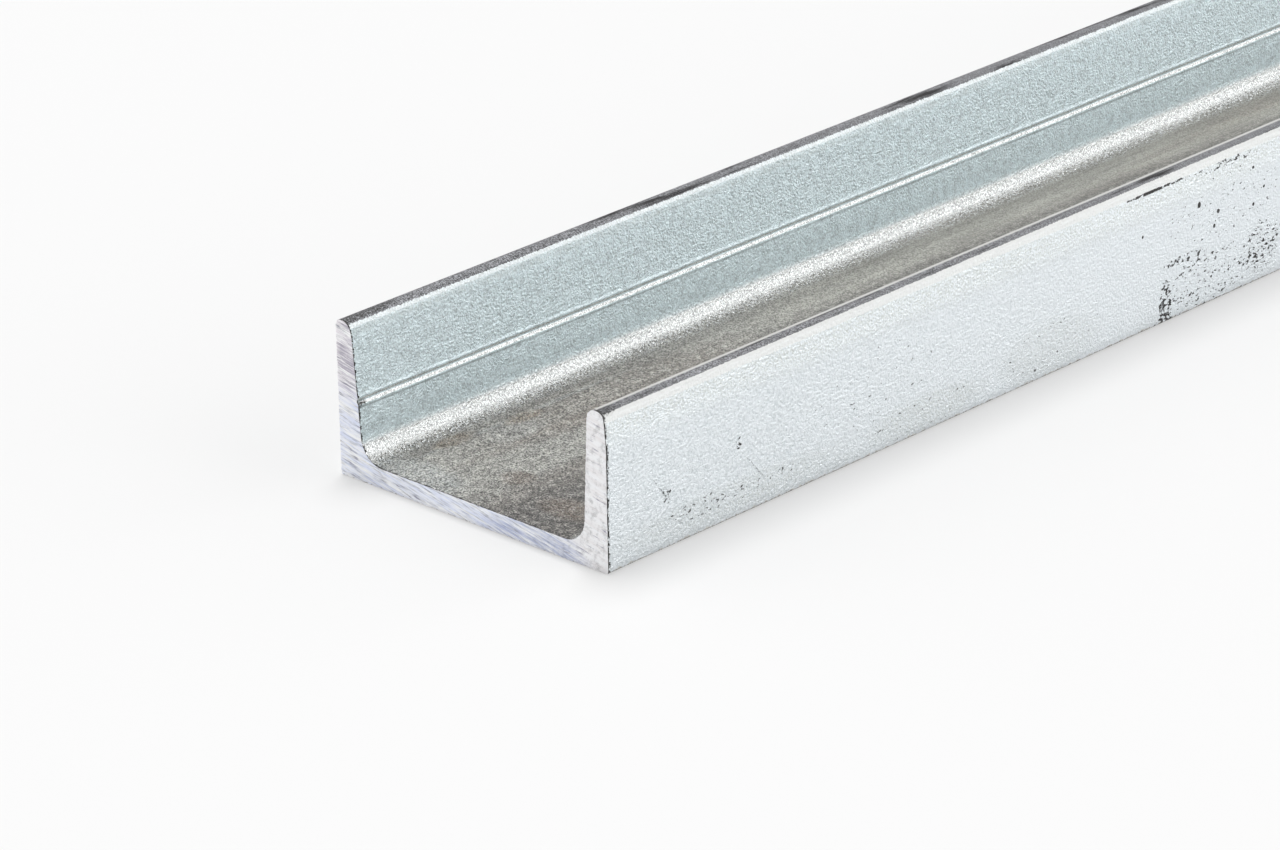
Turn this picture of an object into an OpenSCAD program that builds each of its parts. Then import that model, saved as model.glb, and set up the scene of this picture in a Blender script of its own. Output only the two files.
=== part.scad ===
// Hot-rolled steel channel with tapered flanges, galvanized and then sawn to length.
// It lies on its web: the length runs along Y, the web lies across X and the flanges stand up
// along Z. The flange at -X has a shallow rolled line on its inner face, the one at +X is plain.
// The origin is on the underside of the web, at the middle of its length and width.

/* [Section] */
// Depth of the section, between the outer faces of the flanges
section_depth = 120; // [100:1:160]
// Width of a flange, from the underside of the web to the toe
flange_width = 55; // [45:1:75]
// Thickness of the web
web_thickness = 7; // [5:0.5:10]
// Fillet between the web and a flange
root_radius = 9; // [4:0.5:14]
// Outer edge where the web and a flange meet
heel_radius = 1; // [0.5:0.1:3]

/* [Lined flange] */
// Thickness of the flange with the rolled line, at half its width
lined_thickness = 9; // [7.5:0.1:13]
// Slope of its inner face, as a share of the width it runs over
lined_taper_share = 0.08; // [0.02:0.01:0.1]
// Outer edge of its toe
lined_toe_outer_radius = 2.4; // [1:0.1:3]
// Inner edge of its toe
lined_toe_inner_radius = 4.4; // [1:0.1:6]
// Height of the rolled line above the underside of the web
line_height = 28.5; // [22:0.5:36]
// Width of the rolled line on the inner face
line_width = 3.2; // [2:0.1:5]
// Depth of the rolled line at its middle
line_depth = 0.4; // [0.2:0.05:0.8]

/* [Plain flange] */
// Thickness of the plain flange, at half its width
plain_thickness = 9.4; // [7.5:0.1:13]
// Slope of its inner face, as a share of the width it runs over
plain_taper_share = 0.05; // [0.02:0.01:0.1]
// Outer edge of its toe
plain_toe_outer_radius = 4; // [1:0.1:4.5]
// Inner edge of its toe
plain_toe_inner_radius = 2.6; // [1:0.1:6]

/* [Stock] */
// Length that the stock is sawn to
stock_length = 1000; // [250:50:6000]

/* [Hidden] */
$fn = 96;
zinc_colour = "#C6D3D7";
// How far a cut runs past the face that it opens
cut_overrun = 2;
// How far an arc bulges past the faces that it blends, so that it meets them in a clear line
blend_overlap = 0.001;
// How much of a toe its two rounded edges may take up
toe_room_share = 0.95;

half_depth = section_depth / 2;
inward = [1, 0];
outward = [-1, 0];
up = [0, 1];
down = [0, -1];
line_radius = (pow(line_width / 2, 2) + pow(line_depth, 2)) / (2 * line_depth);

function unit(v) = v / norm(v);

// Thickness of a flange at a height above the underside of the web
function thickness_at(height, thickness, taper_share) =
    thickness + taper_share * (flange_width / 2 - height);

// Point on a flange's inner face, with the flange at -X
function inner_face_point(height, thickness, taper_share) =
    [thickness_at(height, thickness, taper_share) - half_depth, height];

// Direction down a flange's inner face, with the flange at -X
function down_inner_face(taper_share) = unit(down + taper_share * inward);

// Half the angle at which two edges meet
function half_angle(edge_a, edge_b) = acos(edge_a * edge_b) / 2;

// An inner toe edge keeps its radius unless the toe is too thin for it beside the outer edge
function inner_toe_fit(thickness, taper_share, outer_radius, inner_radius) =
    let (room = toe_room_share * thickness_at(flange_width, thickness, taper_share) - outer_radius)
    min(inner_radius, room * tan(half_angle(outward, down_inner_face(taper_share))));

// What rounding a corner takes away: the kite between the arc's centre and the corner,
// grown past both edges, less the disc of the arc
module corner_waste(corner, edge_a, edge_b, radius) {
    half = half_angle(edge_a, edge_b);
    reach = radius / tan(half);
    centre = corner + unit(edge_a + edge_b) * radius / sin(half);
    kite = [centre, corner + reach * edge_a, corner, corner + reach * edge_b];
    difference() {
        polygon([for (point = kite) centre + (point - centre) * (radius + cut_overrun) / radius]);
        translate(centre) circle(radius + blend_overlap);
    }
}

// The waste at the heel and toe of a flange, with the flange at -X
module flange_waste(thickness, taper_share, outer_radius, inner_radius) {
    corner_waste([-half_depth, 0], inward, up, heel_radius);
    corner_waste([-half_depth, flange_width], inward, down, outer_radius);
    corner_waste(inner_face_point(flange_width, thickness, taper_share),
                 outward, down_inner_face(taper_share),
                 inner_toe_fit(thickness, taper_share, outer_radius, inner_radius));
}

// The corner of the trough that a flange's root fillet fills, with the flange at -X
module root_fill(thickness, taper_share) {
    corner_waste(inner_face_point(web_thickness, thickness, taper_share),
                 inward, -down_inner_face(taper_share), root_radius);
}

// One half of the open space between the flanges, with its flange at -X
module half_trough(thickness, taper_share) {
    difference() {
        polygon([
            inner_face_point(web_thickness, thickness, taper_share),
            inner_face_point(flange_width + cut_overrun, thickness, taper_share),
            [cut_overrun, flange_width + cut_overrun],
            [cut_overrun, web_thickness]
        ]);
        root_fill(thickness, taper_share);
    }
}

// The shallow line rolled into the inner face of the flange at -X
module rolled_line() {
    face_normal = unit(inward + lined_taper_share * up);
    translate(inner_face_point(line_height, lined_thickness, lined_taper_share)
              + (line_radius - line_depth) * face_normal)
        circle(line_radius);
}

module section() {
    difference() {
        translate([-half_depth, 0]) square([section_depth, flange_width]);
        half_trough(lined_thickness, lined_taper_share);
        mirror(inward) half_trough(plain_thickness, plain_taper_share);
        rolled_line();
        flange_waste(lined_thickness, lined_taper_share,
                     lined_toe_outer_radius, lined_toe_inner_radius);
        mirror(inward) flange_waste(plain_thickness, plain_taper_share,
                                    plain_toe_outer_radius, plain_toe_inner_radius);
    }
}

module channel() {
    color(zinc_colour)
        rotate([90, 0, 0])
            linear_extrude(stock_length, center = true)
                section();
}

channel();
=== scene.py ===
import math
import random

import bpy
from mathutils import Matrix, Vector, noise
from mathutils.geometry import delaunay_2d_cdt


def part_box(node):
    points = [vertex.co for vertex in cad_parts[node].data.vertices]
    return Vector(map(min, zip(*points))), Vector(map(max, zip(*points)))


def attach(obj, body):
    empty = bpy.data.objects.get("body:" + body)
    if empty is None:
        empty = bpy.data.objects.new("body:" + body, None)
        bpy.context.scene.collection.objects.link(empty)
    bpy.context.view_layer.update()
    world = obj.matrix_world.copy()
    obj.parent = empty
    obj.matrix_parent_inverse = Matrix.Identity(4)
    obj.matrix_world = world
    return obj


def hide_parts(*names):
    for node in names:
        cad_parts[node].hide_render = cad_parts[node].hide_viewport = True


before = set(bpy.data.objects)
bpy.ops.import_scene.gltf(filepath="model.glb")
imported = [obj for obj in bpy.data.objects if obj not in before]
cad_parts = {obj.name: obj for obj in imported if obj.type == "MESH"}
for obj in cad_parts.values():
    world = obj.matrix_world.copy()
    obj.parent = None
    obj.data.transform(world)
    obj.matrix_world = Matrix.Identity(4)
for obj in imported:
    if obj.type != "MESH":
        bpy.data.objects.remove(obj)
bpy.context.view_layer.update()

# The channel is one length of hot-rolled steel that lies on its web, with a tapered flange along each
# edge, fillets in the corners and rounded toes. The rolls left one shallow line, between two low ridges,
# along the inner face of the flange at -X, the lined flange. Sizes are in mm.
MM = 0.001
# the upper corner of the CAD's box, which is centred on X and Y and stands on the floor
half_depth, half_length, flange_width = Vector(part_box("channel")[1]) / MM
web_thickness = 7.0
root_radius = 9.0
root_steps = 12
heel_radius = 1.0
heel_steps = 4
lined_thickness = 9.0
lined_taper = 0.08
plain_thickness = 9.4
plain_taper = 0.05
line_height = 27.7
line_reach = 3.0
line_step = 0.2
# the groove of the line and the ridges beside it: distance down the face, width and height
line_waves = [(0.0, 0.75, -0.38), (1.6, 0.6, 0.14), (-1.3, 0.75, 0.2)]
# longest steps of the mesh over flat faces and along the bar, and its finer steps next to the ends
flat_step = 3.0
ring_step = 3.0
end_steps = [0.45, 1.2, 2.4]
# unevenness that the rolls left, and its sizes across and along the bar
roll_wave = 0.06
wave_across = 34.0
wave_along = 55.0


def round_off(before, corner, after, radius, steps):
    """Points of the arc that rounds one corner of the section between its two neighbours."""
    start, end = (before - corner).normalized(), (after - corner).normalized()
    half_angle = start.angle(end) / 2
    centre = corner + (start + end).normalized() * radius / math.sin(half_angle)
    reach = radius / math.tan(half_angle)
    first = corner + start * reach - centre
    last = corner + end * reach - centre
    turn = -first.angle_signed(last)
    return [centre + Matrix.Rotation(turn * step / steps, 2) @ first for step in range(steps + 1)]


def inner_face(height, thickness, taper):
    """A point on a flange's tapered inner face, with x from the flange's outer face."""
    return Vector((thickness + taper * (flange_width / 2 - height), height))


def line_offset(across):
    """How far the rolled line raises or sinks the face, at a distance down from the line's middle."""
    offset = 0.0
    for middle, width, height in line_waves:
        offset += height * math.exp(-((across - middle) / width) ** 2)
    return offset


def flange_outline(toe, thickness, taper):
    """A flange's outline from its heel over its toe to its root, with x from the flange's outer face."""
    heel = (Vector((0, 0)), heel_radius, heel_steps)
    root = (inner_face(web_thickness, thickness, taper), root_radius, root_steps)
    corners = [heel] + toe + [root]
    places = [place for place, radius, steps in corners]
    befores = [Vector((half_depth, 0))] + places[:-1]
    afters = places[1:] + [Vector((half_depth, web_thickness))]
    points = []
    for before, after, (corner, radius, steps) in zip(befores, afters, corners):
        points += round_off(before, corner, after, radius, steps)
    return points


# the corners of each toe from the outer face inward: place, radius and steps of the arc
plain_toe = [
    (Vector((0, 43)), 30.0, 3),
    (Vector((1.05, flange_width - 1.1)), 2.6, 8),
    (inner_face(flange_width + 0.2, plain_thickness, plain_taper), 3.7, 9),
]
lined_toe = [
    (Vector((0, flange_width - 0.2)), 2.4, 7),
    (Vector((5.95, flange_width - 0.63)), 4.0, 10),
    (inner_face(49.8, lined_thickness, lined_taper), 12.0, 3),
]
plain_flange = flange_outline(plain_toe, plain_thickness, plain_taper)
lined_flange = flange_outline(lined_toe, lined_thickness, lined_taper)
right = [Vector((half_depth - point.x, point.y)) for point in plain_flange]
left = [Vector((point.x - half_depth, point.y)) for point in lined_flange]

line_middle = inner_face(line_height, lined_thickness, lined_taper) - Vector((half_depth, 0))
down_face = Vector((lined_taper, -1)).normalized()
face_normal = Vector((1, lined_taper)).normalized()
line_steps = round(line_reach / line_step)
rolled_line = []
for step in range(-line_steps, line_steps + 1):
    across = step * line_step
    rolled_line.append(line_middle + down_face * across + face_normal * line_offset(across))
toe_top = max(range(len(left)), key=lambda number: left[number].y)
root_start = next(number for number in range(toe_top, len(left)) if left[number].y < line_height)
left[root_start:root_start] = rolled_line

corners = right + left[::-1]
outline = []
for here, after in zip(corners, corners[1:] + corners[:1]):
    pieces = math.ceil((after - here).length / flat_step)
    outline += [here.lerp(after, piece / pieces) for piece in range(pieces)]
count = len(outline)
normals = []
for number in range(count):
    tangent = outline[(number + 1) % count] - outline[number - 1]
    normals.append(Vector((tangent.y, -tangent.x)).normalized())

inset = 0.0
near_rings = [-half_length]
for step in end_steps:
    inset += step
    near_rings.append(-half_length + inset)
middle_length = 2 * (half_length - inset)
middle_count = round(middle_length / ring_step)
middle_rings = [near_rings[-1] + middle_length * step / middle_count for step in range(1, middle_count)]
rings = near_rings + middle_rings + [-y for y in near_rings[::-1]]


def on_bar(number, y):
    """A point of the bar's skin, which the rolls left very slightly uneven and never fuller than true."""
    spot, normal = outline[number], normals[number]
    wave = noise.noise(Vector((spot.x / wave_across, y / wave_along, spot.y / wave_across))) - 1
    spot = spot + normal * roll_wave * wave / 2
    return Vector((spot.x, y, spot.y))


coat_zone = 0
cut_zone = 1
skin_rings = len(rings) - 2
verts, faces, zones = [], [], []
for y in rings[1:-1]:
    verts += [on_bar(number, y) for number in range(count)]
for ring in range(skin_rings - 1):
    base = ring * count
    for number in range(count):
        after = (number + 1) % count
        faces.append((base + number, base + count + number, base + count + after, base + after))
        zones.append(coat_zone)

# The ends are square saw cuts through the coated bar, so they are bare steel. The teeth left shallow
# tracks that run a little downhill, and the edges chipped along the cut. The tracks are drawn coarser
# than real ones, so that they show.
saw_pitch = 1.5
saw_depth = 0.06
saw_slope = math.radians(-11)
# sizes along and across the tracks over which they wander and change in depth
drift_along = 30
drift_across = 9
drift_pitches = 1.2
weight_along = 18
weight_across = 3
weight_seed = 5
# most chips are far smaller than the deepest, and a chip slopes back from the cut
chip_depth = 0.22
chip_power = 3
chip_slope = 0.5
grain_step = 0.6
edge_clearance = 0.6 * grain_step
end_cuts = 5
inside_only = 1
merge_distance = 1e-5
# each end: which way it faces along Y, and the seed of its marks
ends = [(-1, 3.0), (1, 11.0)]


def sawn_depth(spot, seed):
    """How deep the blade's teeth went at a place on a sawn end."""
    across = spot.y * math.cos(saw_slope) - spot.x * math.sin(saw_slope)
    along = spot.x * math.cos(saw_slope) + spot.y * math.sin(saw_slope)
    drift = noise.noise(Vector((along / drift_along, across / drift_across, seed)))
    tooth = 0.5 + 0.5 * math.sin(2 * math.pi * (across / saw_pitch + drift_pitches * drift))
    weight = noise.noise(Vector((along / weight_along, across / weight_across, seed + weight_seed)))
    return saw_depth * tooth * (0.5 + 0.5 * weight)


def inside_section(spot):
    """Whether a place on the end lies within the section and clear of its edge."""
    inside = False
    for here, after in zip(outline, outline[1:] + outline[:1]):
        if (here.y > spot.y) != (after.y > spot.y):
            if spot.x < here.x + (spot.y - here.y) / (after.y - here.y) * (after.x - here.x):
                inside = not inside
    return inside and min((spot - edge).length for edge in end_edge) > edge_clearance


end_edge = []
for here, after in zip(outline, outline[1:] + outline[:1]):
    end_edge += [here.lerp(after, cut / end_cuts) for cut in range(end_cuts)]
grid = []
for row in range(int(flange_width / grain_step) + 1):
    for column in range(int(2 * half_depth / grain_step) + 1):
        spot = Vector((-half_depth + grain_step * (column + row % 2 / 2), grain_step * row))
        if inside_section(spot):
            grid.append(spot)
edge_count = len(end_edge)
loop = [(number, (number + 1) % edge_count) for number in range(edge_count)]
flat, _, triangles, sources, _, _ = delaunay_2d_cdt(
    end_edge + grid, loop, [], inside_only, merge_distance)

for side, seed in ends:
    chips = random.Random(int(seed))
    first = len(verts)
    ring_start = 0 if side < 0 else (skin_rings - 1) * count
    edge_verts = {}
    for number, spot in enumerate(flat):
        depth = sawn_depth(spot, seed)
        source = sources[number][0]
        if source < edge_count:
            chip = chip_depth * chips.random() ** chip_power
            spot = spot - normals[source // end_cuts] * (chip + roll_wave / 2)
            depth += chip_slope * chip
            edge_verts[source] = first + number
        verts.append(Vector((spot.x, side * (half_length - depth), spot.y)))
    for number in range(count):
        after = (number + 1) % count
        edge = [edge_verts[(number * end_cuts + cut) % edge_count] for cut in range(end_cuts + 1)]
        face = edge + [ring_start + after, ring_start + number]
        faces.append(tuple(face[::-1] if side < 0 else face))
        zones.append(coat_zone)
    for triangle in triangles:
        face = [first + number for number in triangle]
        faces.append(tuple(face if side < 0 else face[::-1]))
        zones.append(cut_zone)

sharp_angle = math.radians(50)
mesh = bpy.data.meshes.new("rolled_channel")
mesh.from_pydata([vert * MM for vert in verts], [], faces)
mesh.polygons.foreach_set("material_index", zones)
mesh.update()
mesh.shade_smooth()
mesh.set_sharp_from_angle(angle=sharp_angle)
channel = bpy.data.objects.new("rolled_channel", mesh)
bpy.context.scene.collection.objects.link(channel)
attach(channel, "root")
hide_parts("channel")

# The zinc is a hot-dip coat about 0.1 mm thick. It froze to a pale skin with an orange-peel relief and
# has dulled since: dirt lies on the web, the toes are rubbed dark, and small bare pits have opened in
# the outer face of the plain flange. Painted shade darkens the web and the toe tops further, the foot
# of the rolled line and the lower edges; painted highlights whiten the fillets and the edges of the plain
# toe, and a painted sheen brightens the inner faces.


def linear(hex_colour):
    """A colour written as sRGB hex, in the linear values that a shader takes."""
    parts = [int(hex_colour[start:start + 2], 16) / 255 for start in (1, 3, 5)]
    levels = [part / 12.92 if part <= 0.04045 else ((part + 0.055) / 1.055) ** 2.4 for part in parts]
    return tuple(levels) + (1.0,)


def add_node(tree, kind, inputs=None, **settings):
    """Adds a node with its settings. An input takes a value, another node's socket or its first output."""
    node = tree.nodes.new(kind)
    for name, value in settings.items():
        setattr(node, name, value)
    sockets = {socket.identifier: socket for socket in node.inputs}
    for name, value in (inputs or {}).items():
        if isinstance(value, bpy.types.Node):
            value = next(socket for socket in value.outputs if socket.enabled)
        if isinstance(value, bpy.types.NodeSocket):
            tree.links.new(value, sockets[name])
        else:
            sockets[name].default_value = value
    return node


def per_metre(size):
    """The scale at which a pattern repeats about once in a size given in mm."""
    return 1 / (size * MM)


def from_near_end(length):
    """The object's Y, in metres, at a length in mm from the near end."""
    return (length - half_length) * MM


zinc_pale = linear("#DEE3E6")
zinc_grey = linear("#C4CBCE")
# painted sheen: the inner faces' brighter, bluer zinc
inner_sheen_blue = linear("#EEFBFF")
# painted highlight: the fillets' white
fillet_highlight_white = linear("#F5F6F5")
# painted highlight along the outer edge of the plain toe, in two brightnesses
toe_highlight_white = linear("#D8D9D8")
toe_highlight_bright = linear("#E8EAE9")
# dirt on the web, darkened further as painted shade
web_grime_and_shade = linear("#989792")
web_brown = linear("#776C63")
# dark dirt on the web, also used as painted shade at the foot of the lined fillet
web_dark_dirt_and_shade = linear("#565352")
web_pale = linear("#A2A5A4")
web_dusty = linear("#A5A49C")
rust = linear("#857055")
# the rubbed toe tops, darkened further as painted shade
toe_grime_and_shade = linear("#797A7D")
toe_black = linear("#2B2A2C")
# painted highlight on the inner rim of the plain toe
toe_rim_highlight = linear("#C4C3C1")
# painted shade under the lower ridge of the rolled line
line_foot_shade = linear("#6F7678")
# painted shade along the lower edges, with some dirt, in a grey and a dark line
heel_grey_dirt_and_shade = linear("#CFCFCA")
heel_dark_dirt_and_shade = linear("#7C7A76")
outer_grime = linear("#BDC1BE")
scratch_grey = linear("#7D8284")
bare_pit = linear("#333231")

# pattern sizes in mm; the coat's own grain and the grit are finer and are drawn this coarse to show
peel_size = 0.9
speckle_size = 0.65
mottle_size = 2.6
streak_size = 2.4
patch_size = 14.0
sand_size = 0.48
pit_size = 1.15
shake_size = 2.0
# streaks and pits are drawn out along the bar
streak_squeeze = (1.0, 0.06, 1.0)
pit_squeeze = (1.0, 0.6, 1.0)

# where the coat changes, in mm: heights from the floor, distances across from the middle of the web
web_top = 20.0
toe_bottom = 45.0
outer_toe_start = (50.6, 50.8)
plain_outside = 55.0
rim_start = (55.8, 55.4)
edge_wander = 0.3
foot_height = 25.6
foot_fade = (0.35, 0.15)
line_fade = (2.8, 2.0)
heel_grey_top = (0.3, 1.3)
heel_dark_top = (0.15, 0.85)
burr_width = 0.9
outer_burr_width = 1.3
scratch_width = 0.3
scratch_depth = 4
scratch_shake = 2.0
# the same as lengths from the near end, where a change fades over a run
even_run = (60, 260)
smooth_run = (80, 320)
# where the coat changes by how a face is turned: the normal's Z for upward faces, and for inner and
# outer ones the place's X, in metres, times the normal's X
web_turn = (0.80, 0.86)
toe_turn = (0.72, 0.75)
toe_wander = 0.05
highlight_turn = (0.5, 0.2)
fillet_turn = (-0.010, -0.016)
inner_turn = (-0.0462, -0.0497)
outer_turn = (0.02, 0.05)

# marks of the coat in mm, with lengths from the near end: middle, reach and then how strong they are
pit_spots = [
    ((60, 278, 5), (4, 5, 15), 0.95),
    ((60, 289, 20.8), (4, 17, 2.2), 0.85),
    ((60, 302, 10), (4, 34, 15), 0.66),
    ((60, 331, 13), (4, 15, 14), 0.80),
    ((60, 310, 34), (4, 48, 18), 0.52),
    ((60, 295.5, 38.3), (4, 1.1, 1.3), 2.0),
    ((60, 306.3, 33), (4, 1.0, 1.1), 2.2),
    ((60, 304.3, 28.1), (4, 0.8, 0.9), 2.2),
    ((60, 325.6, 43.6), (4, 0.8, 0.7), 2.0),
    ((60, 332, 34.9), (4, 0.7, 0.7), 2.0),
    ((60, 326.2, 29.8), (4, 0.8, 0.8), 2.0),
    ((60, 264.6, 35.4), (4, 0.6, 0.8), 1.6),
    ((60, 385, 14), (4, 62, 17), 0.6),
    ((60, 452, 9), (4, 60, 12), 0.5),
    ((60, 300, 0), (4, 45, 3), 0.7),
    ((60, 272, 50.3), (4, 26, 0.8), 1.1),
    ((60, 312, 49.4), (4, 30, 2.0), 0.75),
    ((60, 55, 9), (4, 50, 5), 0.62),
    ((60, 27, 19), (4, 3, 5), 0.75),
    ((60, 60.5, 25), (4, 2, 3), 0.85),
    ((60, 125, 25), (4, 50, 20), 0.42),
    ((60, 150, 7), (4, 40, 9), 0.46),
    ((60, 216, 10), (4, 36, 13), 0.46),
]
dirt_spots = [
    ((-30, 340, 7), (40, 220, 4), web_dusty, 0.8),
    ((-18, 320, 7), (14, 280, 4), web_dark_dirt_and_shade, 0.7),
    ((48, 5, 7), (58, 90, 8), web_dark_dirt_and_shade, 0.95),
    # painted shade: a darker band along the foot of the lined fillet
    ((-41, 50, 7), (9, 50, 5), web_dark_dirt_and_shade, 0.15),
    ((-28, 95, 7), (16, 75, 4), web_brown, 0.4),
    ((-30, 3, 7), (26, 13, 4), web_pale, 0.8),
    ((-3, 24, 7), (7, 7, 4), web_brown, 0.7),
    ((27, 17, 7), (14, 8, 4), web_brown, 0.8),
    ((-31, 51, 7), (8, 14, 4), web_pale, 0.4),
    ((-38.5, 60, 7), (1.4, 64, 5), web_pale, 0.6),
    ((-40, 32, 7), (4, 11, 4), rust, 0.45),
    ((-37, 61, 7), (4, 10, 4), rust, 0.45),
    ((-21, 54, 7), (1.2, 1.5, 3), bare_pit, 1.0),
]
dirt_thin_share = 0.3
flange_smudges = [
    ((60, 200, 53), (4, 400, 14), 0.75),
    ((-53, 200, 53), (4, 500, 4), 0.5),
    ((60, 55, 8), (4, 62, 6), 0.4),
    ((60, 70, 3), (4, 70, 4), 0.25),
    ((60, 152, 7), (4, 34, 8), 0.5),
    ((60, 215, 10), (4, 30, 12), 0.4),
]
end_nicks = [
    ((-51, 1.5, 26.8), (4, 3.0, 1.6)),
    ((-57, 9, 55), (3.4, 16, 3)),
    ((57.5, 3, 55), (2.4, 5, 3)),
]
# scratches on the outer face: length from the near end and height of both ends
scratches = [
    ((19.5, 27.0), (29.2, 14.9)),
    ((25.4, 23.0), (29.2, 15.2)),
    ((60.2, 24.0), (73.7, 8.1)),
]
mark_core = 0.6


def nearness(tree, place, centre, reach, tilt=0.0):
    """A mask that is 1 in the core of an ellipsoid and 0 at its edge, in mm with y from the near end."""
    centre = Vector(centre) - Vector((0, half_length, 0))
    local = add_node(
        tree, "ShaderNodeMapping",
        {"Vector": place, "Location": centre * MM, "Rotation": (tilt, 0.0, 0.0),
         "Scale": Vector(reach) * MM},
        vector_type="TEXTURE")
    away = add_node(tree, "ShaderNodeVectorMath", {"Vector": local}, operation="LENGTH").outputs["Value"]
    return add_node(tree, "ShaderNodeMapRange", {"Value": away, "From Min": 1.0, "From Max": mark_core})


# Hot-dip zinc looks pale and satin: partly metal and partly chalky, with soft glints from its relief,
# and painted highlights and glints in its colour.
zinc = bpy.data.materials.new("hot_dip_zinc")
zinc.use_nodes = True
tree = zinc.node_tree
tree.nodes.clear()
place = add_node(tree, "ShaderNodeTexCoord").outputs["Object"]
place_x, place_y, place_z = add_node(tree, "ShaderNodeSeparateXYZ", {"Vector": place}).outputs
surface = add_node(tree, "ShaderNodeNewGeometry").outputs["Normal"]
facing_x, _, facing_z = add_node(tree, "ShaderNodeSeparateXYZ", {"Vector": surface}).outputs
peel = add_node(
    tree, "ShaderNodeTexNoise",
    {"Vector": place, "Scale": per_metre(peel_size), "Detail": 3.0, "Roughness": 0.6})
speckle = add_node(
    tree, "ShaderNodeTexNoise",
    {"Vector": place, "Scale": per_metre(speckle_size), "Detail": 2.0, "Roughness": 0.6})
mottle = add_node(
    tree, "ShaderNodeTexNoise",
    {"Vector": place, "Scale": per_metre(mottle_size), "Detail": 4.0, "Roughness": 0.65})
grit = add_node(tree, "ShaderNodeMath", {"Value": speckle, "Value_001": mottle}, operation="ADD")
along = add_node(tree, "ShaderNodeMapping", {"Vector": place, "Scale": streak_squeeze})
streak = add_node(
    tree, "ShaderNodeTexNoise",
    {"Vector": along, "Scale": per_metre(streak_size), "Detail": 4.0, "Roughness": 0.6})
patch = add_node(
    tree, "ShaderNodeTexNoise", {"Vector": along, "Scale": per_metre(patch_size), "Detail": 3.0})
# what lies over the clean coat, in order: where it is, and its colour
layers = []

# clean coat: nearly even on the outer faces; a painted highlight makes the fillets white, and a painted
# sheen makes the inner faces brighter and bluer
uneven = add_node(
    tree, "ShaderNodeMapRange",
    {"Value": place_y, "From Min": from_near_end(even_run[0]), "From Max": from_near_end(even_run[1]),
     "To Min": 1.0, "To Max": 0.45})
patchy = add_node(
    tree, "ShaderNodeMapRange", {"Value": mottle, "From Min": 0.35, "From Max": 0.6, "To Min": 0.3})
uneven = add_node(tree, "ShaderNodeMath", {"Value": uneven, "Value_001": patchy}, operation="MULTIPLY")
shade = add_node(
    tree, "ShaderNodeMapRange", {"Value": peel, "From Min": 0.58, "From Max": 0.36, "To Max": uneven})
coat = add_node(
    tree, "ShaderNodeMix", {"Factor_Float": shade, "A_Color": zinc_pale, "B_Color": zinc_grey},
    data_type="RGBA")
outward = add_node(tree, "ShaderNodeMath", {"Value": facing_x, "Value_001": place_x}, operation="MULTIPLY")
below_toes = add_node(
    tree, "ShaderNodeMath", {"Value": place_z, "Value_001": toe_bottom * MM}, operation="LESS_THAN")
# painted highlight in the fillets: white zinc flecked with painted glints
filleted = add_node(
    tree, "ShaderNodeMapRange", {"Value": outward, "From Min": fillet_turn[0], "From Max": fillet_turn[1]})
filleted = add_node(
    tree, "ShaderNodeMath", {"Value": filleted, "Value_001": below_toes}, operation="MULTIPLY")
fillet_glints = add_node(
    tree, "ShaderNodeMapRange",
    {"Value": speckle, "From Min": 0.38, "From Max": 0.6, "To Min": 0.6, "To Max": 1.16})
fillet_glints = add_node(
    tree, "ShaderNodeVectorMath", {"Vector": fillet_highlight_white[:3], "Scale": fillet_glints}, operation="SCALE")
layers.append((filleted, fillet_glints))
# painted sheen on the inner faces: brighter, bluer zinc with painted glints in its grain
sided = add_node(
    tree, "ShaderNodeMapRange", {"Value": outward, "From Min": inner_turn[0], "From Max": inner_turn[1]})
inner_glints = add_node(
    tree, "ShaderNodeMapRange",
    {"Value": grit, "From Min": 0.76, "From Max": 1.08, "To Min": 0.68, "To Max": 1.0})
inner_sheen = add_node(
    tree, "ShaderNodeVectorMath", {"Vector": inner_sheen_blue[:3], "Scale": inner_glints}, operation="SCALE")
layers.append((sided, inner_sheen))

# dirt on the web: brown patches, spots and sandy grain that smooths out into streaks farther along;
# the grey under them is dirt darkened further as painted shade
low_down = add_node(
    tree, "ShaderNodeMath", {"Value": place_z, "Value_001": web_top * MM}, operation="LESS_THAN")
ragged = add_node(
    tree, "ShaderNodeMapRange",
    {"Value": speckle, "From Min": 0.42, "From Max": 0.58, "To Min": -0.13, "To Max": 0.13})
ragged = add_node(tree, "ShaderNodeMath", {"Value": facing_z, "Value_001": ragged}, operation="ADD")
web = add_node(
    tree, "ShaderNodeMapRange", {"Value": ragged, "From Min": web_turn[0], "From Max": web_turn[1]})
web = add_node(tree, "ShaderNodeMath", {"Value": web, "Value_001": low_down}, operation="MULTIPLY")
browned = add_node(
    tree, "ShaderNodeMapRange", {"Value": patch, "From Min": 0.48, "From Max": 0.72, "To Max": 0.7})
grime_and_shade = add_node(
    tree, "ShaderNodeMix", {"Factor_Float": browned, "A_Color": web_grime_and_shade, "B_Color": web_brown},
    data_type="RGBA")
for centre, reach, colour, share in dirt_spots:
    near = nearness(tree, place, centre, reach)
    spread = add_node(
        tree, "ShaderNodeMapRange",
        {"Value": grit, "From Min": 1.14, "From Max": 0.9, "To Min": share * dirt_thin_share,
         "To Max": share})
    spread = add_node(tree, "ShaderNodeMath", {"Value": spread, "Value_001": near}, operation="MULTIPLY")
    grime_and_shade = add_node(
        tree, "ShaderNodeMix", {"Factor_Float": spread, "A_Color": grime_and_shade, "B_Color": colour},
        data_type="RGBA")
sand = add_node(
    tree, "ShaderNodeTexNoise",
    {"Vector": place, "Scale": per_metre(sand_size), "Detail": 1.0, "Roughness": 0.5})
grain = add_node(
    tree, "ShaderNodeMapRange",
    {"Value": sand, "From Min": 0.36, "From Max": 0.64, "To Min": 0.25, "To Max": 1.75})
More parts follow.
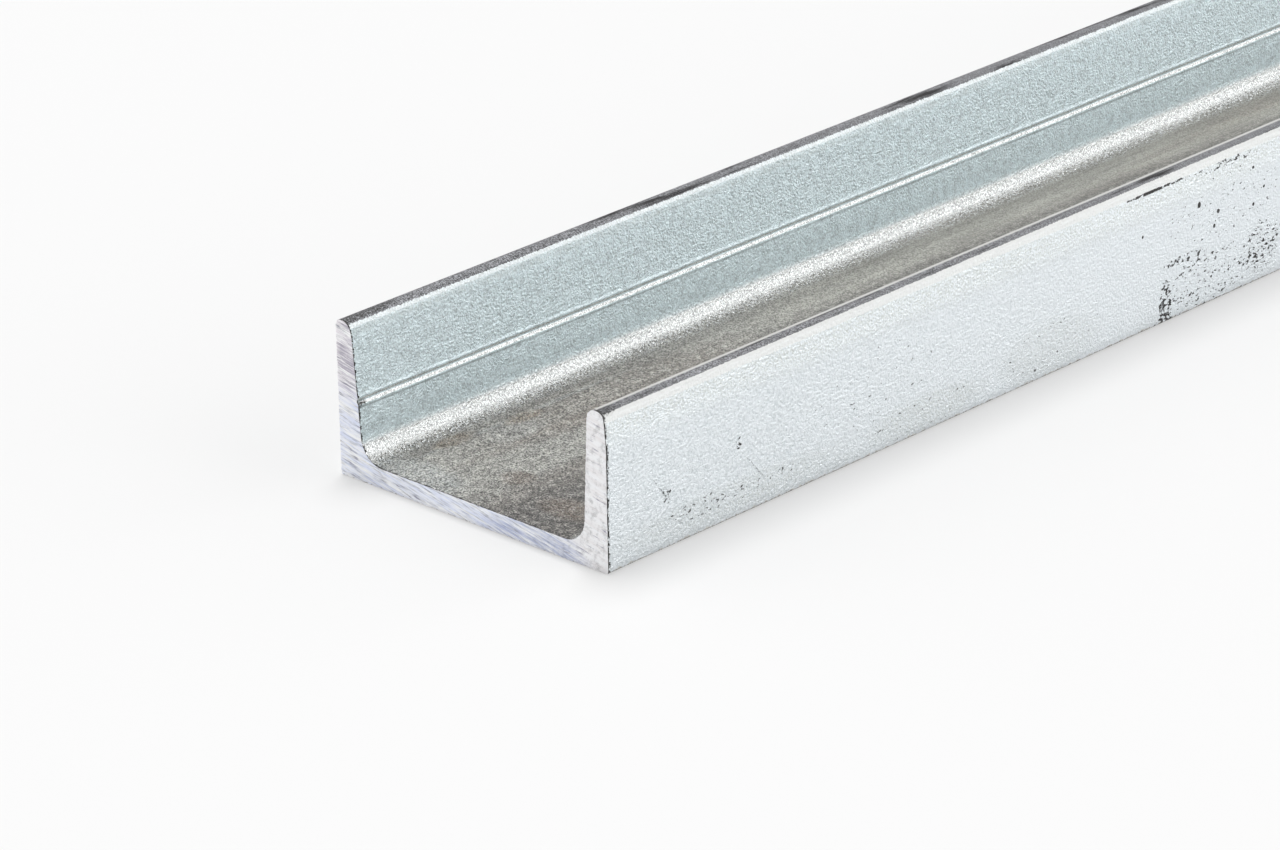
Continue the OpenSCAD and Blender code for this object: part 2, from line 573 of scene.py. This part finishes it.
blotch = add_node(
    tree, "ShaderNodeMapRange",
    {"Value": mottle, "From Min": 0.3, "From Max": 0.7, "To Min": 0.72, "To Max": 1.28})
streaks = add_node(
    tree, "ShaderNodeMapRange",
    {"Value": streak, "From Min": 0.35, "From Max": 0.65, "To Min": 0.86, "To Max": 1.12})
farther = add_node(
    tree, "ShaderNodeMapRange",
    {"Value": place_y, "From Min": from_near_end(smooth_run[0]), "From Max": from_near_end(smooth_run[1]),
     "To Max": 0.6})
grain = add_node(tree, "ShaderNodeMath", {"Value": grain, "Value_001": blotch}, operation="MULTIPLY")
grain = add_node(tree, "ShaderNodeMath", {"Value": grain, "Value_001": streaks}, operation="MULTIPLY")
grain = add_node(
    tree, "ShaderNodeMix", {"Factor_Float": farther, "A_Float": grain, "B_Float": streaks},
    data_type="FLOAT")
grime_and_shade = add_node(tree, "ShaderNodeVectorMath", {"Vector": grime_and_shade, "Scale": grain}, operation="SCALE")
layers.append((web, grime_and_shade))

# smudges and scratches on the flanges
speckled = add_node(tree, "ShaderNodeMapRange", {"Value": speckle, "From Min": 0.42, "From Max": 0.6})
for centre, reach, share in flange_smudges:
    smudge = nearness(tree, place, centre, reach)
    smudge = add_node(tree, "ShaderNodeMath", {"Value": smudge, "Value_001": speckled}, operation="MULTIPLY")
    smudge = add_node(tree, "ShaderNodeMath", {"Value": smudge, "Value_001": share}, operation="MULTIPLY")
    layers.append((smudge, outer_grime))
shake = add_node(
    tree, "ShaderNodeTexNoise", {"Vector": place, "Scale": per_metre(shake_size), "Detail": 2.0})
shake = add_node(
    tree, "ShaderNodeVectorMath", {"Vector": shake.outputs["Color"], "Vector_001": (0.5, 0.5, 0.5)},
    operation="SUBTRACT")
shaken = add_node(
    tree, "ShaderNodeVectorMath",
    {"Vector": shake, "Vector_001": [scratch_shake * MM] * 3, "Vector_002": place}, operation="MULTIPLY_ADD")
for start, end in scratches:
    start, end = Vector(start), Vector(end)
    middle, run = (start + end) / 2, end - start
    mark = nearness(
        tree, shaken.outputs["Vector"], (half_depth, middle.x, middle.y),
        (scratch_depth, run.length / 2, scratch_width), tilt=math.atan2(run.y, run.x))
    mark = add_node(tree, "ShaderNodeMath", {"Value": mark, "Value_001": speckled}, operation="MULTIPLY")
    layers.append((mark, scratch_grey))

# toes: rubbed dark and scuffed on top, darkened further as painted shade; the plain one also has a
# painted highlight along its outer edge and a painted highlight on its inner rim
high_up = add_node(
    tree, "ShaderNodeMath", {"Value": place_z, "Value_001": toe_bottom * MM}, operation="GREATER_THAN")
plain_outer = add_node(
    tree, "ShaderNodeMath", {"Value": place_x, "Value_001": plain_outside * MM}, operation="GREATER_THAN")
edge = add_node(
    tree, "ShaderNodeMapRange",
    {"Value": speckle, "From Min": 0.3, "From Max": 0.7, "To Min": -edge_wander * MM,
     "To Max": edge_wander * MM})
edge = add_node(tree, "ShaderNodeMath", {"Value": place_z, "Value_001": edge}, operation="ADD")
# painted highlight along the outer edge of the plain toe
outer_toe_highlight = add_node(
    tree, "ShaderNodeMapRange",
    {"Value": edge, "From Min": outer_toe_start[0] * MM, "From Max": outer_toe_start[1] * MM})
outer_toe_highlight = add_node(
    tree, "ShaderNodeMath", {"Value": outer_toe_highlight, "Value_001": plain_outer}, operation="MULTIPLY")
toe_highlight = add_node(
    tree, "ShaderNodeMapRange", {"Value": facing_z, "From Min": highlight_turn[0], "From Max": highlight_turn[1]})
toe_highlight = add_node(
    tree, "ShaderNodeMix", {"Factor_Float": toe_highlight, "A_Color": toe_highlight_white, "B_Color": toe_highlight_bright},
    data_type="RGBA")
layers.append((outer_toe_highlight, toe_highlight))
# the toe tops: rubbed dark and scuffed, darkened further as painted shade
toe = add_node(
    tree, "ShaderNodeMapRange",
    {"Value": speckle, "From Min": 0.3, "From Max": 0.7, "To Min": -toe_wander, "To Max": toe_wander})
toe = add_node(tree, "ShaderNodeMath", {"Value": facing_z, "Value_001": toe}, operation="ADD")
toe = add_node(
    tree, "ShaderNodeMapRange", {"Value": toe, "From Min": toe_turn[0], "From Max": toe_turn[1]})
toe = add_node(tree, "ShaderNodeMath", {"Value": toe, "Value_001": high_up}, operation="MULTIPLY")
scuff = add_node(tree, "ShaderNodeMapRange", {"Value": streak, "From Min": 0.45, "From Max": 0.35})
rubbed_and_shaded = add_node(
    tree, "ShaderNodeMix", {"Factor_Float": scuff, "A_Color": toe_grime_and_shade, "B_Color": toe_black},
    data_type="RGBA")
rubbed_and_shaded = add_node(tree, "ShaderNodeVectorMath", {"Vector": rubbed_and_shaded, "Scale": grain}, operation="SCALE")
layers.append((toe, rubbed_and_shaded))
plain_half = add_node(
    tree, "ShaderNodeMath", {"Value": place_x, "Value_001": 0.0}, operation="GREATER_THAN")
# painted highlight on the inner rim of the plain toe
rim_highlight = add_node(
    tree, "ShaderNodeMapRange",
    {"Value": place_x, "From Min": rim_start[0] * MM, "From Max": rim_start[1] * MM})
rim_highlight = add_node(tree, "ShaderNodeMath", {"Value": rim_highlight, "Value_001": plain_half}, operation="MULTIPLY")
rim_highlight = add_node(tree, "ShaderNodeMath", {"Value": rim_highlight, "Value_001": toe}, operation="MULTIPLY")
layers.append((rim_highlight, toe_rim_highlight))

# painted shade along the foot of the rolled line, under its lower ridge
lined_half = add_node(
    tree, "ShaderNodeMath", {"Value": place_x, "Value_001": 0.0}, operation="LESS_THAN")
lined_face = add_node(
    tree, "ShaderNodeMath", {"Value": lined_half, "Value_001": sided}, operation="MULTIPLY")
line_shadow = add_node(
    tree, "ShaderNodeMath", {"Value": place_z, "Value_001": foot_height * MM}, operation="SUBTRACT")
line_shadow = add_node(tree, "ShaderNodeMath", {"Value": line_shadow}, operation="ABSOLUTE")
line_shadow = add_node(
    tree, "ShaderNodeMapRange",
    {"Value": line_shadow, "From Min": foot_fade[0] * MM, "From Max": foot_fade[1] * MM})
line_shadow = add_node(tree, "ShaderNodeMath", {"Value": line_shadow, "Value_001": lined_face}, operation="MULTIPLY")
broken = add_node(
    tree, "ShaderNodeMapRange", {"Value": streak, "From Min": 0.40, "From Max": 0.55, "To Max": 0.35})
line_shadow = add_node(tree, "ShaderNodeMath", {"Value": line_shadow, "Value_001": broken}, operation="MULTIPLY")
layers.append((line_shadow, line_foot_shade))

# painted shade along the lower edges, with some dirt: a grey line and a thinner dark one
heel = add_node(
    tree, "ShaderNodeMapRange",
    {"Value": mottle, "From Min": 0.35, "From Max": 0.65, "To Min": heel_grey_top[0] * MM,
     "To Max": heel_grey_top[1] * MM})
heel = add_node(tree, "ShaderNodeMath", {"Value": place_z, "Value_001": heel}, operation="LESS_THAN")
layers.append((heel, heel_grey_dirt_and_shade))
heel_edge = add_node(
    tree, "ShaderNodeMapRange",
    {"Value": grit, "From Min": 0.8, "From Max": 1.2, "To Min": heel_dark_top[0] * MM,
     "To Max": heel_dark_top[1] * MM})
heel_edge = add_node(
    tree, "ShaderNodeMath", {"Value": place_z, "Value_001": heel_edge}, operation="LESS_THAN")
layers.append((heel_edge, heel_dark_dirt_and_shade))

# bare pits: they open where a noise passes a limit, which sinks as the pits crowd
density = 0.0
for centre, reach, share in pit_spots:
    near = nearness(tree, place, centre, reach)
    near = add_node(tree, "ShaderNodeMath", {"Value": near, "Value_001": share}, operation="MULTIPLY")
    density = add_node(tree, "ShaderNodeMath", {"Value": near, "Value_001": density}, operation="MAXIMUM")
smeared = add_node(tree, "ShaderNodeMapping", {"Vector": place, "Scale": pit_squeeze})
bare = add_node(
    tree, "ShaderNodeTexNoise",
    {"Vector": smeared, "Scale": per_metre(pit_size), "Detail": 4.0, "Roughness": 0.65})
rows = add_node(
    tree, "ShaderNodeMapRange",
    {"Value": streak, "From Min": 0.4, "From Max": 0.6, "To Min": 0.03, "To Max": -0.03})
limit = add_node(
    tree, "ShaderNodeMapRange", {"Value": density, "To Min": 0.80, "To Max": 0.48}, clamp=False)
limit = add_node(tree, "ShaderNodeMath", {"Value": limit, "Value_001": rows}, operation="ADD")
bared = add_node(tree, "ShaderNodeMath", {"Value": bare, "Value_001": limit}, operation="SUBTRACT")
pits = add_node(tree, "ShaderNodeMapRange", {"Value": bared, "From Min": 0.0, "From Max": 0.02})
layers.append((pits, bare_pit))

# nicks where the rolled line and the toes meet the near end
for centre, reach in end_nicks:
    nick = nearness(tree, place, centre, reach)
    nick = add_node(tree, "ShaderNodeMath", {"Value": nick, "Value_001": speckled}, operation="MULTIPLY")
    layers.append((nick, bare_pit))

# dark line that the saw left along the cuts
from_middle = add_node(tree, "ShaderNodeMath", {"Value": place_y}, operation="ABSOLUTE")
burr_start = add_node(
    tree, "ShaderNodeMapRange",
    {"Value": plain_outer, "To Min": (half_length - burr_width) * MM,
     "To Max": (half_length - outer_burr_width) * MM})
burr = add_node(
    tree, "ShaderNodeMapRange",
    {"Value": grit, "From Min": 0.75, "From Max": 1.25, "To Min": burr_start, "To Max": half_length * MM})
burnt = add_node(tree, "ShaderNodeMath", {"Value": from_middle, "Value_001": burr}, operation="GREATER_THAN")
layers.append((burnt, bare_pit))

for mask, colour in layers:
    coat = add_node(
        tree, "ShaderNodeMix", {"Factor_Float": mask, "A_Color": coat, "B_Color": colour}, data_type="RGBA")

# clean zinc is smoother and more of a metal than dirt, the toe tops and the painted highlight on the
# outer toe edge, and smoothest in the fillets
clean_metallic = 0.8
soiled_metallic = 0.35
clean_roughness = 0.42
fillet_roughness = 0.27
inner_roughness = 0.38
soiled_roughness = 0.6
inner_soiling = 0.15
duller = add_node(tree, "ShaderNodeMath", {"Value": sided, "Value_001": inner_soiling}, operation="MULTIPLY")
for mask in (web, toe, outer_toe_highlight, pits):
    duller = add_node(tree, "ShaderNodeMath", {"Value": duller, "Value_001": mask}, operation="MAXIMUM")
metallic = add_node(
    tree, "ShaderNodeMapRange", {"Value": duller, "To Min": clean_metallic, "To Max": soiled_metallic})
rough = add_node(
    tree, "ShaderNodeMapRange", {"Value": filleted, "To Min": clean_roughness, "To Max": fillet_roughness})
rough = add_node(
    tree, "ShaderNodeMix", {"Factor_Float": sided, "A_Float": rough, "B_Float": inner_roughness},
    data_type="FLOAT")
rough = add_node(
    tree, "ShaderNodeMix", {"Factor_Float": duller, "A_Float": rough, "B_Float": soiled_roughness},
    data_type="FLOAT")

# orange-peel relief in mm: low on the outer faces and the rolled line, higher toward the inner toes
main_relief = 0.55
outer_relief = 0.42
inner_relief = (0.42, 1.2)
inner_relief_rise = (18, 46)
line_relief = 0.25
relief = add_node(
    tree, "ShaderNodeMapRange",
    {"Value": outward, "From Min": outer_turn[0], "From Max": outer_turn[1], "To Min": main_relief * MM,
     "To Max": outer_relief * MM})
rising = add_node(
    tree, "ShaderNodeMapRange",
    {"Value": place_z, "From Min": inner_relief_rise[0] * MM, "From Max": inner_relief_rise[1] * MM,
     "To Min": inner_relief[0] * MM, "To Max": inner_relief[1] * MM})
relief = add_node(
    tree, "ShaderNodeMix", {"Factor_Float": sided, "A_Float": relief, "B_Float": rising}, data_type="FLOAT")
on_line = add_node(
    tree, "ShaderNodeMath", {"Value": place_z, "Value_001": line_height * MM}, operation="SUBTRACT")
on_line = add_node(tree, "ShaderNodeMath", {"Value": on_line}, operation="ABSOLUTE")
on_line = add_node(
    tree, "ShaderNodeMapRange",
    {"Value": on_line, "From Min": line_fade[0] * MM, "From Max": line_fade[1] * MM})
on_line = add_node(tree, "ShaderNodeMath", {"Value": on_line, "Value_001": lined_face}, operation="MULTIPLY")
relief = add_node(
    tree, "ShaderNodeMix", {"Factor_Float": on_line, "A_Float": relief, "B_Float": line_relief * MM},
    data_type="FLOAT")
bump = add_node(tree, "ShaderNodeBump", {"Height": peel, "Distance": relief, "Strength": 1.0})
shader = add_node(
    tree, "ShaderNodeBsdfPrincipled",
    {"Base Color": coat, "Metallic": metallic, "Roughness": rough, "Normal": bump})
add_node(tree, "ShaderNodeOutputMaterial", {"Surface": shader})
mesh.materials.append(zinc)

# The face of each cut is bare steel. The blade drew fine streaks across it, and it has turned lilac and
# blue in places, most on the web and on the lined flange. The streaks are drawn coarser than real ones,
# so that they show.
cut_bright = linear("#F1F2F4")
cut_lilac = linear("#D6DCEE")
cut_blue = linear("#ADB5D0")
cut_pink = linear("#E5DEE3")
cut_grey = linear("#E6E4E5")
cut_dark = linear("#83819A")
scratch_size = 0.65
scratch_squeeze = (0.09, 1.0, 1.0)
smear_size = 1.2
smear_squeeze = (0.07, 1.0, 1.0)
smudge_size = 2.2
scratch_relief = 0.1
cut_metallic = 0.8
cut_roughness = 0.3
# where the cut changes from streaks to smudges, across the web, and its tinged spots: middle and reach
smudge_run = (20, 50)
pink_spot = ((-56, 0, 47), (12, 6, 22))
blue_spot = ((28, 0, 1), (26, 6, 9))
stain_spot = ((-54, 0, 42), (7, 6, 16))

# Sawn steel looks bright and brushed: smoother than the coat, with thin dark streaks.
cut = bpy.data.materials.new("saw_cut_steel")
cut.use_nodes = True
tree = cut.node_tree
tree.nodes.clear()
place = add_node(tree, "ShaderNodeTexCoord").outputs["Object"]
place_x = add_node(tree, "ShaderNodeSeparateXYZ", {"Vector": place}).outputs["X"]
turned = add_node(tree, "ShaderNodeMapping", {"Vector": place, "Rotation": (0.0, saw_slope, 0.0)})
drawn = add_node(tree, "ShaderNodeMapping", {"Vector": turned, "Scale": scratch_squeeze})
scratch = add_node(
    tree, "ShaderNodeTexNoise",
    {"Vector": drawn, "Scale": per_metre(scratch_size), "Detail": 3.0, "Roughness": 0.7})
broad = add_node(tree, "ShaderNodeMapping", {"Vector": turned, "Scale": smear_squeeze})
smear = add_node(
    tree, "ShaderNodeTexNoise",
    {"Vector": broad, "Scale": per_metre(smear_size), "Detail": 5.0, "Roughness": 0.75})
smudge = add_node(
    tree, "ShaderNodeTexNoise",
    {"Vector": place, "Scale": per_metre(smudge_size), "Detail": 5.0, "Roughness": 0.75})
plain = add_node(
    tree, "ShaderNodeMapRange",
    {"Value": place_x, "From Min": smudge_run[0] * MM, "From Max": smudge_run[1] * MM})
tint = add_node(
    tree, "ShaderNodeMix", {"Factor_Float": plain, "A_Color": cut_lilac, "B_Color": cut_grey},
    data_type="RGBA")
for spot, colour in ((pink_spot, cut_pink), (blue_spot, cut_blue)):
    tinged = nearness(tree, place, *spot)
    tint = add_node(
        tree, "ShaderNodeMix", {"Factor_Float": tinged, "A_Color": tint, "B_Color": colour},
        data_type="RGBA")
tinted = add_node(tree, "ShaderNodeMapRange", {"Value": smear, "From Min": 0.40, "From Max": 0.62})
steel = add_node(
    tree, "ShaderNodeMix", {"Factor_Float": tinted, "A_Color": cut_bright, "B_Color": tint},
    data_type="RGBA")
streaked = add_node(
    tree, "ShaderNodeMapRange",
    {"Value": scratch, "From Min": 0.38, "From Max": 0.52, "To Min": 0.76, "To Max": 1.13})
smudged = add_node(
    tree, "ShaderNodeMapRange",
    {"Value": smudge, "From Min": 0.34, "From Max": 0.5, "To Min": 0.72, "To Max": 1.1})
lightness = add_node(
    tree, "ShaderNodeMix", {"Factor_Float": plain, "A_Float": streaked, "B_Float": smudged},
    data_type="FLOAT")
steel = add_node(tree, "ShaderNodeVectorMath", {"Vector": steel, "Scale": lightness}, operation="SCALE")
dark = add_node(
    tree, "ShaderNodeMapRange", {"Value": scratch, "From Min": 0.38, "From Max": 0.31, "To Max": 0.85})
stained = add_node(
    tree, "ShaderNodeMapRange", {"Value": smear, "From Min": 0.46, "From Max": 0.6, "To Max": 0.6})
stained = add_node(
    tree, "ShaderNodeMath", {"Value": stained, "Value_001": nearness(tree, place, *stain_spot)},
    operation="MULTIPLY")
for mask in (dark, stained):
    steel = add_node(
        tree, "ShaderNodeMix", {"Factor_Float": mask, "A_Color": steel, "B_Color": cut_dark},
        data_type="RGBA")
bump = add_node(
    tree, "ShaderNodeBump", {"Height": scratch, "Distance": scratch_relief * MM, "Strength": 1.0})
shader = add_node(
    tree, "ShaderNodeBsdfPrincipled",
    {"Base Color": steel, "Metallic": cut_metallic, "Roughness": cut_roughness, "Normal": bump})
add_node(tree, "ShaderNodeOutputMaterial", {"Surface": shader})
mesh.materials.append(cut)

# The floor is a wide sheet of white paper that the channel lies on loose. It is laid a hair below the
# channel, so that the two never share a face, and reaches past every view: half its width is in metres.
floor_half = 30.0
floor_drop = 0.2
paper_white = linear("#A4A4A4")
paper_glow = 0.465
floor_mesh = bpy.data.meshes.new("floor")
floor_corners = [(-1, -1, 0), (1, -1, 0), (1, 1, 0), (-1, 1, 0)]
floor_mesh.from_pydata([Vector(corner) * floor_half for corner in floor_corners], [], [(0, 1, 2, 3)])
floor = bpy.data.objects.new("floor", floor_mesh)
bpy.context.scene.collection.objects.link(floor)
floor.location.z = -floor_drop * MM

# White paper looks flat, with no gloss. It throws little light back on the bar, and a glow that only the
# camera and reflections see brings it up to white.
paper = bpy.data.materials.new("white_paper")
paper.use_nodes = True
tree = paper.node_tree
tree.nodes.clear()
ray = add_node(tree, "ShaderNodeLightPath").outputs
shown = add_node(
    tree, "ShaderNodeMath", {"Value": ray["Is Camera Ray"], "Value_001": ray["Is Glossy Ray"]},
    operation="MAXIMUM")
shown = add_node(
    tree, "ShaderNodeMath", {"Value": shown, "Value_001": ray["Is Transmission Ray"]}, operation="MAXIMUM")
glow = add_node(tree, "ShaderNodeMath", {"Value": shown, "Value_001": paper_glow}, operation="MULTIPLY")
shader = add_node(
    tree, "ShaderNodeBsdfPrincipled",
    {"Base Color": paper_white, "Roughness": 1.0, "Specular IOR Level": 0.0,
     "Emission Color": (1.0, 1.0, 1.0, 1.0), "Emission Strength": glow})
add_node(tree, "ShaderNodeOutputMaterial", {"Surface": shader})
floor_mesh.materials.append(paper)

# The light is a white studio: a dim room with a bright, low bank to the right of the far end, weaker ones
# to the left of the far and the near end, and a large soft lamp overhead. The lamp leans to the back, so
# that the short shadow falls toward the camera.
sky_level = 0.14
# each bank: direction, cosines of the angles at which it starts and is full, and strength
sky_lobes = [
    ((0.75, 0.64, 0.14), 0.5, 0.92, 2.8),
    ((0.74, 0.66, 0.14), 0.92, 0.985, 5.0),
    ((0.67, 0.66, 0.34), 0.92, 0.985, 3.4),
    ((0.54, 0.66, 0.52), 0.92, 0.985, 1.5),
    ((-0.62, 0.62, 0.48), 0.5, 0.9, 0.38),
    ((-0.75, -0.5, 0.5), 0.5, 0.9, 1.35),
]
overhead_energy = 1.9
overhead_spread = math.radians(26)
overhead_from = Vector((-0.21, 0.21, 0.95))
world = bpy.data.worlds.new("soft_studio")
bpy.context.scene.world = world
world.use_nodes = True
tree = world.node_tree
tree.nodes.clear()
aim = add_node(tree, "ShaderNodeTexCoord").outputs["Generated"]
level = sky_level
for direction, wide, narrow, strength in sky_lobes:
    toward = add_node(
        tree, "ShaderNodeVectorMath", {"Vector": aim, "Vector_001": Vector(direction).normalized()},
        operation="DOT_PRODUCT")
    within = add_node(
        tree, "ShaderNodeMapRange", {"Value": toward.outputs["Value"], "From Min": wide, "From Max": narrow},
        interpolation_type="SMOOTHSTEP")
    level = add_node(
        tree, "ShaderNodeMix", {"Factor_Float": within, "A_Float": level, "B_Float": strength},
        data_type="FLOAT")
background = add_node(tree, "ShaderNodeBackground", {"Color": (1.0, 1.0, 1.0, 1.0), "Strength": level})
add_node(tree, "ShaderNodeOutputWorld", {"Surface": background})
overhead_data = bpy.data.lights.new("overhead_softbox", "SUN")
overhead_data.energy = overhead_energy
overhead_data.angle = overhead_spread
overhead = bpy.data.objects.new("overhead_softbox", overhead_data)
overhead.rotation_euler = overhead_from.to_track_quat("Z", "Y").to_euler()
bpy.context.scene.collection.objects.link(overhead)

# The camera has a long lens and looks down along the bar from its near end. Its place, in metres, its
# axes and its focal length, in pixels of the photo, were solved from the edges of the bar.
image_width = 1280
focal_pixels = 5604.24
camera_place = (1.16593, -1.64019, 0.72737)
right_axis = Vector((0.72708, 0.68637, -0.01605))
down_axis = Vector((0.25836, -0.29519, -0.91985))
forward_axis = Vector((-0.63609, 0.66466, -0.39195))
camera_data = bpy.data.cameras.new("camera")
camera_data.sensor_width = 36.0
camera_data.lens = focal_pixels / image_width * camera_data.sensor_width
camera_data.clip_end = 100.0
camera = bpy.data.objects.new("camera", camera_data)
bpy.context.scene.collection.objects.link(camera)
camera_turn = Matrix((right_axis, -down_axis, -forward_axis)).transposed().to_4x4()
camera.matrix_world = Matrix.Translation(camera_place) @ camera_turn
bpy.context.scene.camera = camera
bpy.context.scene.view_settings.view_transform = "Standard"
